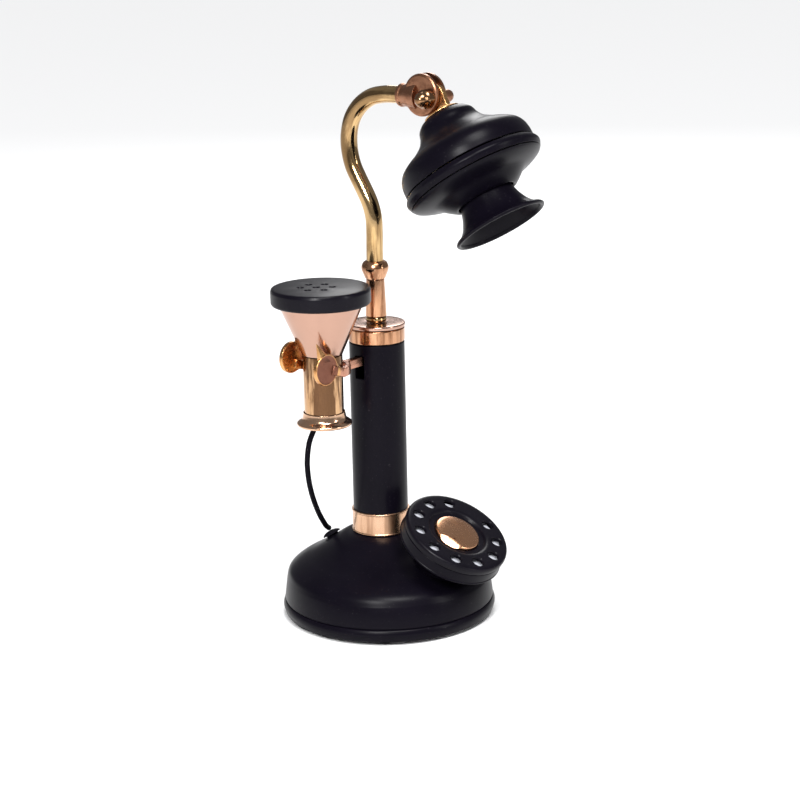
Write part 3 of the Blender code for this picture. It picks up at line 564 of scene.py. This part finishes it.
columnValues = {
    "collar": [(12.5, 37.2), (12.95, 37.4), (12.95, 37.9), (12.75, 38.1), (12.75, 46.4), (12.95, 46.6),
               (12.95, 47.1), (12.7, 47.3), (10.7, 47.3), (10.7, 37.2)],
    "tube": [(12.2, 47.4), (12.2, 123.5), (10.6, 123.5), (10.6, 37.2), (12.2, 37.2)],
    "band": [(11.9, 123.8), (12.4, 124.2), (12.4, 129.6), (12.0, 130.0), (8.5, 130.0), (8.5, 120.8),
             (10.3, 120.8), (10.3, 123.8)],
    "disc": [(2.7, 130.3), (12.5, 130.3), (12.7, 130.6), (12.7, 131.6), (12.4, 132.0), (2.7, 132.0)],
    "boss": [(2.7, 132.3), (4.3, 132.3), (4.6, 133.0), (4.6, 133.8), (4.2, 134.5), (2.7, 134.5)],
    "cone": [(2.3, 124.8), (2.3, 134.8), (4.65, 134.8), (4.0, 151.0), (1.3, 151.0), (1.3, 124.8)],
    "bead": [(1.3, 151.3), (4.3, 151.3), [(4.3, 151.3), (4.9, 152.6), (6.0, 155.9), (5.3, 158.3), (4.1, 159.2)],
             (4.0, 159.2), (4.0, 153.0), (1.3, 153.0)]}


def addColumn(v):
    rows = (("collar", "lower_collar", "copper", copperBrushed, 0.18),
            ("tube", "column_tube", "black_enamel", enamel, 0.3),
            ("band", "cap_band", "rose_gold", copperRose, 0.3),
            ("disc", "cap_disc", "rose_gold", roseGold, 0.3),
            ("boss", "stem_boss", "brass", brassPolished, 0.3),
            ("cone", "stem_cone", "rose_gold", copperRose, 0.2),
            ("bead", "stem_bead", "rose_gold", copperRose, 0.2))
    for key, node, slotName, finish, soft in rows:
        piece = turn(v[key], 128, soft, closed=True)
        if key == "tube":
            cut(piece, [block((-16, -2.6, 108.4), (-8, 2.6, 118.9), 0.6)])
            mendNormals(piece)
        settle(piece, "visual_" + node, "stand", finish, [node], columnFrame)
    print("column made")


addColumn(columnValues)


# gooseneck, a ring carried along its path

gooseneckValues = {"radius": 3.7, "ring": 56, "path": [
    (0, 153.3), (0, 163), (-0.2, 171.5), (0.1, 178), (1.9, 184), (4.8, 189.2), (8, 194.3), (11.1, 199.9),
    (12.8, 206.5), (12.8, 213.2), (10.7, 220.1), (6.1, 225.8), (-0.3, 229.7), (-7.2, 231.2), (-13.4, 231.5),
    (-20.2, 231.5)]}


def addGooseneck(v):
    path = [Vector((0, 3.8 + y, z)) * mm for y, z in smoothRun(v["path"], 6)]
    objectMode()
    bpy.ops.mesh.primitive_circle_add(vertices=v["ring"], radius=v["radius"] * mm, fill_type="NGON",
                                      location=path[0])
    bpy.ops.object.transform_apply(location=True, rotation=True, scale=True)
    neck = bpy.context.object
    bpy.ops.object.mode_set(mode="EDIT")
    bpy.ops.mesh.select_all(action="SELECT")
    slope = 0.0
    for i in range(1, len(path)):
        ahead = path[min(i + 1, len(path) - 1)] - path[i - 1]
        wanted = math.atan2(-ahead.y, ahead.z)
        bpy.ops.mesh.extrude_region_move(TRANSFORM_OT_translate={"value": path[i] - path[i - 1]})
        bpy.ops.transform.rotate(value=slope - wanted, orient_axis="X", orient_type="GLOBAL",
                                 center_override=path[i])
        slope = wanted
    bpy.ops.mesh.select_all(action="SELECT")
    bpy.ops.mesh.normals_make_consistent(inside=False)
    settle(neck, "visual_gooseneck_tube", "stand", brassPolished, ["gooseneck_tube"])
    print("gooseneck made")


addGooseneck(gooseneckValues)


# clevis, bolt and nut

clevisValues = {
    "socket": [(0, 16.6), (4.1, 16.6), [(4.1, 16.6), (4.9, 17.2), (5.0, 18.2), (4.7, 19.6), (5.3, 22.5),
                                        (6.2, 27.5)], (0, 27.5)],
    "cheek": [(0, -3.5), (8.0, -3.5), (8.4, -3.3), (8.9, -2.9), (8.9, 2.9), (8.4, 3.3), (8.0, 3.5), (0, 3.5)],
    "bolt": [(0, -7.6), (1.9, -7.6), (1.9, 3.8), (2.8, 3.8), (2.9, 8.9), (2.4, 10.4), (1.2, 11.1), (0, 11.3)],
    "nut": [(0, 0.3), (3.9, 0.3), (4.1, 0.9), (4.1, 3.3), [(4.1, 3.3), (3.4, 4.3), (2.8, 5.9), (1.3, 7.5),
                                                          (0, 7.8)]]}


def addClevis(v):
    along = frameAt((0, 3.8, 231.5), (0, -1, 0))
    socket = moved(turn(v["socket"], 72, 0.5), along)
    cheek = moved(turn(v["cheek"], 96, 0.35), frameAt((0, -25.8, 232.3), (1, 0, 0)))
    body = joined(cheek, socket)
    tools = [block((-1.6, -40, 220), (1.6, -23.0, 245), 0.0),
             moved(turn([(0, 0), (3.75, 0), (3.75, 20.5), (0, 20.5)], 56, 0), along),
             moved(turn([(0, -9), (2.2, -9), (2.2, 9), (0, 9)], 40, 0), frameAt((0, -30.4, 231.1), (1, 0, 0)))]
    cut(body, tools)
    mendNormals(body)
    settle(body, "visual_neck_clevis", "stand", antique, ["neck_clevis"])
    settle(turn(v["bolt"], 64, 0.25), "visual_pivot_bolt", "stand", antique, ["pivot_bolt"],
           frameAt((0, -30.4, 231.1), (1, 0, 0), (0, 0, 1)))
    nut = turn(v["nut"], 72, 0.3)
    cut(nut, [turn([(0, -1), (2.2, -1), (2.2, 5.0), (0, 5.0)], 40, 0)])
    mendNormals(nut)
    settle(nut, "visual_acorn_nut", "stand", bronzeDark, ["acorn_nut"],
           frameAt((-3.5, -30.4, 231.1), (-1, 0, 0), (0, 0, 1)))
    print("clevis made")


addClevis(clevisValues)


# transmitter

transmitterValues = {
    "lug": [(0, 6.9), (7.5, 6.9), (7.9, 7.2), (7.9, 7.7), (2.2, 7.7), (2.2, 13), (0, 13)],
    "shell": [(2.6, 8), (8.4, 8), [(8.4, 8), (10.3, 9), (12.3, 11.1), (13.4, 14.1), (15.5, 17), (19.7, 20),
                                   (23.5, 22), (26.7, 24.2), (28.5, 26.9), (29.2, 30), (29.3, 33.3)],
              (27.9, 33.3), (27.8, 30.2), (27.2, 27.5), (25.7, 25.3), (22.9, 23.3), (19.0, 21.3),
              (14.5, 18.0), (12.1, 14.7), (11.0, 11.9), (9.5, 10.2), (7.9, 9.4), (2.6, 9.4)],
    "ring": [(29.4, 33.6), [(29.4, 33.6), (30.65, 36), (29.8, 38.4)], (27.9, 38.4), (27.9, 33.6)],
    "plate": [(29.6, 38.7), [(29.6, 38.7), (28.4, 39.8), (25.4, 41.2), (21.4, 42.5)],
              [(20.4, 42.9), (18.9, 43.9), (15.8, 46.4), (13.6, 47.8), (12.7, 47.5)],
              (12.4, 45.2), (9.5, 45.2), (9.5, 43.9), (18.4, 42.4), (25.5, 39.8), (27.9, 38.7)],
    "horn": [(8, 43.3), (9.2, 43.3), (9.2, 45.5), (11.9, 45.5),
             [(11.8, 46.5), (12.2, 49), (13.4, 52.6), (15.6, 56.6), (18.4, 59.3)],
             [(19.3, 59.4), (19.8, 59.8), (20.1, 60.35), (19.75, 61.0), (19.1, 61.25), (18.5, 61.0)],
             [(18.0, 60.2), (17.6, 59.5), (14.5, 56.3), (12.1, 52.5), (10.3, 48.8), (8, 45.3)]]}


def addTransmitter(v):
    lug = turn(v["lug"], 96, 0.2)
    tongue = block((-1.3, -5.4, 0.2), (1.3, 5.4, 7.3), 0.35)
    eye = moved(turn([(0, -1.3), (6.2, -1.3), (6.2, 1.3), (0, 1.3)], 64, 0.3), frameAt((0, 0, 0), (1, 0, 0)))
    joined(lug, tongue, eye)
    cut(lug, [moved(turn([(0, -3), (2.3, -3), (2.3, 3), (0, 3)], 40, 0), frameAt((0, 0, 0), (1, 0, 0)))])
    mendNormals(lug)
    settle(lug, "visual_transmitter_lug", "transmitter", goldLeaf, ["transmitter_lug"],
           transmitterFrame)
    for key, node in (("shell", "transmitter_back_shell"), ("ring", "transmitter_face_ring"),
                      ("plate", "transmitter_faceplate"), ("horn", "mouthpiece_horn")):
        settle(turn(v[key], 160, 0.25, closed=True), "visual_" + node, "transmitter", enamel,
               [node], transmitterFrame)
    print("transmitter made")


addTransmitter(transmitterValues)


# receiver

receiverValues = {
    "tube": [(8.5, 95.3), (8.5, 124.4), (7.3, 124.4), (7.3, 95.3)],
    "cone": [(8.65, 124.7), (18.0, 146.2), (16.7, 146.2), (7.5, 124.7)],
    "cap": [(0, 153.7), (19.7, 153.7), [(19.7, 153.7), (20.8, 153.3), (21.3, 152.2)], (21.25, 147.2),
            (20.7, 146.4), (17.2, 146.4), (17.2, 151.6), (0, 151.6)],
    "flange": [(0, 93.5), (11.3, 93.5), [(11.3, 93.5), (11.8, 93.95), (11.8, 94.7), (11, 95.4), (9.7, 96.4),
                                         (9.2, 98), (9, 99.4)], (8.8, 99.4), (8.8, 95), (0, 95)],
    "bush": [(1.25, 93.3), (1.75, 93.3), (1.75, 95.3), (2.1, 95.3), (2.1, 96.3), (1.25, 96.3)],
    "hole": [(0, 149), (1.45, 149), (1.45, 153.3), (1.75, 153.75), (2.0, 154.4), (0, 154.4)],
    "holeRing": 6.8, "holeCentre": (-1.9, 0.6)}


def addReceiver(v):
    settle(turn(v["tube"], 128, 0.2, closed=True), "visual_receiver_tube", "receiver", tubeBronze,
           ["receiver_tube"], receiverFrame)
    settle(turn(v["cone"], 160, 0.2, closed=True), "visual_receiver_cone", "receiver", roseGold,
           ["receiver_cone"], receiverFrame)
    cap = turn(v["cap"], 160, 0.4)
    spots = [v["holeCentre"]]
    for a in range(10, 370, 60):
        turned = math.radians(a)
        spots.append((spots[0][0] + v["holeRing"] * math.cos(turned),
                      spots[0][1] + v["holeRing"] * math.sin(turned)))
    cut(cap, [moved(turn(v["hole"], 32, 0), frameAt((x, y, 0))) for x, y in spots])
    mendNormals(cap)
    settle(cap, "visual_ear_cap", "receiver", plasticBlack, ["ear_cap"], receiverFrame)
    flange = turn(v["flange"], 128, 0.25)
    cut(flange, [moved(turn([(0, 90), (2.05, 90), (2.05, 97), (0, 97)], 32, 0), frameAt((-0.5, 5.0, 0)))])
    mendNormals(flange)
    settle(flange, "visual_receiver_end_flange", "receiver", roseGoldDeep, ["receiver_end_flange"],
           receiverFrame)
    settle(turn(v["bush"], 48, 0.15, closed=True), "visual_cord_bush", "receiver", rubberBlack,
           ["cord_bush"], frameAt((-36.3, 8.8, 0)))
    print("receiver made")


addReceiver(receiverValues)


# fork hook

forkValues = {
    "yoke": [(9.7, 116.0), (11.9, 116.0), (11.9, 120.0), (9.7, 120.0)],
    "disc": [(0, -0.8), (5.9, -0.8), (6.15, -0.95), (6.55, -0.95), (6.8, -0.7), (6.8, 0.7), (6.55, 0.95),
             (6.15, 0.95), (5.9, 0.8), (0, 0.8)],
    "tips": {-1: {"place": (-45.5, -6.4, 121.0), "foot": (-4.2, 3.4), "tip": (-4.6, 0.5, 11.9)},
             1: {"place": (-42.4, 15.8, 122.8), "foot": (1.6, 5.4), "tip": (6.4, 1.7, 11.0)}},
    "neckOffset": {-1: 0.6, 1: 1.1},
    "pivot": (2.0, 3.8, 116.6)}


def widenEnd(piece, axis, limit, factor):
    pick(piece)
    bpy.ops.object.mode_set(mode="EDIT")
    bpy.ops.mesh.select_all(action="DESELECT")
    mesh = bmesh.from_edit_mesh(piece.data)
    for vertex in mesh.verts:
        vertex.select_set(vertex.co[axis] > limit * mm)
    mesh.select_flush(True)
    bmesh.update_edit_mesh(piece.data)
    bpy.ops.transform.resize(value=factor)
    objectMode()
    return piece


def addSpike(tip):
    back, front = tip["foot"]
    middle = (back + front) / 2
    objectMode()
    bpy.ops.mesh.primitive_cone_add(vertices=6, radius1=mm, radius2=0.05 * mm, depth=mm,
                                    rotation=(0, 0, math.radians(30)))
    bpy.ops.object.transform_apply(location=True, rotation=True, scale=True)
    height = tip["tip"][2] - 3.4
    bpy.ops.transform.resize(value=((front - back) / 1.74, 1.35, height))
    bpy.ops.transform.translate(value=(middle * mm, 0, (3.4 + height / 2) * mm))
    bpy.ops.object.transform_apply(location=True, rotation=True, scale=True)
    spike = bpy.context.object
    for vertex in spike.data.vertices:
        if vertex.co.z > (tip["tip"][2] - 0.5) * mm:
            vertex.co.x += (tip["tip"][0] - middle) * mm
            vertex.co.y += tip["tip"][1] * mm
    return moved(spike, frameAt(tip["place"]))


def addFork(v):
    fork = moved(turn(v["yoke"], 96, 0.3, closed=True), receiverFrame)
    cut(fork, [block((-60, -12, 110), (-35.8, 20, 130))])
    mendNormals(fork)
    pivot = v["pivot"]
    parts = [block((-26.0, 2.0, 114.6), (2.0, 5.6, 118.6), 0.4),
             block((2.0, 2.3, 115.4), (8.4, 5.3, 117.6), 0.3),
             moved(turn([(0, -1.8), (3.2, -1.8), (3.2, 1.8), (0, 1.8)], 48, 0.3), frameAt(pivot, (0, 1, 0)))]
    for side, tip in v["tips"].items():
        prong = frameAt((-34.8, 3.8 + side * 10.8, 117.9), (0, 1, 0), (-1, 0, 0.32))
        parts.append(moved(block((-0.8, -2.0, -1.05), (7.5, 2.0, 1.05), 0.35), prong))
        offset = v["neckOffset"][side]
        neck = widenEnd(block((2.6, -1.9, offset - 0.65), (6.8, 1.9, offset + 0.65)), 0, 5, (1, 2.2, 1))
        parts.append(moved(neck, prong))
        parts.append(moved(turn(v["disc"], 72, 0.15), frameAt(tip["place"], (0, 1, 0))))
        parts.append(addSpike(tip))
    joined(fork, *parts)
    cut(fork, [moved(turn([(0, -6), (1.5, -6), (1.5, 6), (0, 6)], 32, 0), frameAt(pivot, (0, 1, 0)))])
    mendNormals(fork)
    settle(fork, "visual_hook_fork", "hook", forkCopper, ["hook_fork"])
    print("fork made")


addFork(forkValues)


# dial

dialValues = {
    "wheel": [(2.3, -1.9), (11.6, -1.9), [(11.6, -1.9), (12.6, -1.5), (13.4, -0.5), (14.4, 0)],
              [(14.4, 0), (18.0, 0.03), (22.2, 0)],
              [(22.2, 0), (23.3, -0.4), (23.75, -1.5), (23.65, -3.3)], (22.1, -3.3), (21.9, -1.3),
              (10.6, -1.3), (10.4, -3.2), (2.3, -3.2)],
    "plate": [(10.9, -2.9), (21.5, -2.9), (21.5, -3.5), (10.9, -3.5)],
    "hole": [(0, -5), (2.4, -5), (2.4, -0.8), (2.5, -0.4), (2.75, -0.08), (3.2, 0.4), (0, 0.4)],
    "holeRing": 18.6, "firstHole": 54.5, "holeStep": 33.0,
    "cap": [(0, -1.6), (10.3, -1.6), [(10.3, -1.6), (10.3, -1.0), (9.6, -0.1), (6.4, 0.6), (3, 0.82), (0, 0.85)]],
    "dent": (-0.944, -0.33), "dentReach": 8.0, "pinhole": (-6.0, -3.0),
    "housing": [(2.4, -5.4), (2.4, -4.3), (22, -4.3), (22, -3.6), (23.3, -3.6), (23.5, -3.9), (23.4, -7.9),
                [(23.4, -7.9), (23.75, -8.5), (23.2, -9.4)], (21.8, -9.4), (21.8, -5.4)],
    "mount": [(2.4, -10.9), (2.4, -9.7), (20.6, -9.7), (20.6, -10.7), (12, -10.7), (12, -24), (10.4, -24),
              (10.4, -10.9)]}


def addDial(v):
    wheel = turn(v["wheel"], 160, 0.3, closed=True)
    spots = [math.radians(v["firstHole"] + v["holeStep"] * k) for k in range(10)]
    cut(wheel, [moved(turn(v["hole"], 36, 0), frameAt((v["holeRing"] * math.cos(a), v["holeRing"] * math.sin(a), 0)))
                for a in spots])
    mendNormals(wheel)
    settle(wheel, "visual_finger_wheel", "dial", enamelWheel, ["finger_wheel"], dialFrame)
    cap = turn(v["cap"], 128, 0.0)
    dentX, dentY = v["dent"]
    dentFrame = frameAt((dentX * v["dentReach"], dentY * v["dentReach"], 0.05), (dentX * 0.6, dentY * 0.6, 0.8))
    cut(cap, [moved(block((-6, -6, 0), (6, 6, 4)), dentFrame),
              moved(turn([(0, -0.9), (0.4, -0.9), (0.4, 2), (0, 2)], 20, 0), frameAt((*v["pinhole"], 0)))])
    mendNormals(cap)
    settle(cap, "visual_dial_centre_cap", "dial", domeCopper, ["dial_centre_cap"], dialFrame)
    settle(turn(v["plate"], 128, 0.2, closed=True), "visual_number_plate", "stand", cardPale,
           ["number_plate"], dialFrame)
    for key, node in (("housing", "dial_housing"), ("mount", "dial_mount")):
        settle(turn(v[key], 160, 0.25, closed=True), "visual_" + node, "stand", enamel, [node],
               dialFrame)
    print("dial made")


addDial(dialValues)


# floor and light

stageValues = {"floor": 16.0, "world": (0.92, 0.93, 0.96), "worldStrength": 0.26}
sunValues = {"strength": 3.0, "spread": 24, "turn": (24, -18, 0)}
lightValues = {
    "key": {"place": (-0.95, -0.45, 0.8), "size": (0.28, 0.28), "power": 13},
    "front": {"place": (0.35, -1.5, 0.7), "size": (0.2, 0.7), "power": 5},
    "rim": {"place": (0.9, 0.6, 0.9), "size": (0.4, 0.9), "power": 6}}


def addStage(v, lights):
    objectMode()
    bpy.ops.mesh.primitive_plane_add(size=v["floor"], location=(0, 0, -0.0002))
    floor = bpy.context.object
    floor.name = "floor"
    f = Finish("paleFloor", Specular_IOR_Level=0.2)
    floor.data.materials.append(f.paint(Base_Color=(0.9, 0.9, 0.9), Roughness=0.6))
    world = bpy.context.scene.world or bpy.data.worlds.new("studio")
    bpy.context.scene.world = world
    world.use_nodes = True
    world.node_tree.nodes["Background"].inputs["Color"].default_value = (*v["world"], 1)
    world.node_tree.nodes["Background"].inputs["Strength"].default_value = v["worldStrength"]
    for name, light in lights.items():
        objectMode()
        bpy.ops.object.light_add(type="AREA", location=light["place"])
        lamp = bpy.context.object
        lamp.name = name + "Light"
        lamp.data.shape = "RECTANGLE"
        lamp.data.size, lamp.data.size_y = light["size"]
        lamp.data.energy = light["power"]
        aim = Vector((0, 0, 0.12)) - Vector(light["place"])
        lamp.rotation_euler = aim.to_track_quat("-Z", "Y").to_euler()
    objectMode()
    bpy.ops.object.light_add(type="SUN", location=(0, 0, 2))
    sun = bpy.context.object
    sun.name = "softSun"
    sun.data.energy = sunValues["strength"]
    sun.data.angle = math.radians(sunValues["spread"])
    sun.rotation_euler = [math.radians(a) for a in sunValues["turn"]]
    bpy.context.scene.view_settings.view_transform = "Standard"
    print("stage made")


addStage(stageValues, lightValues)
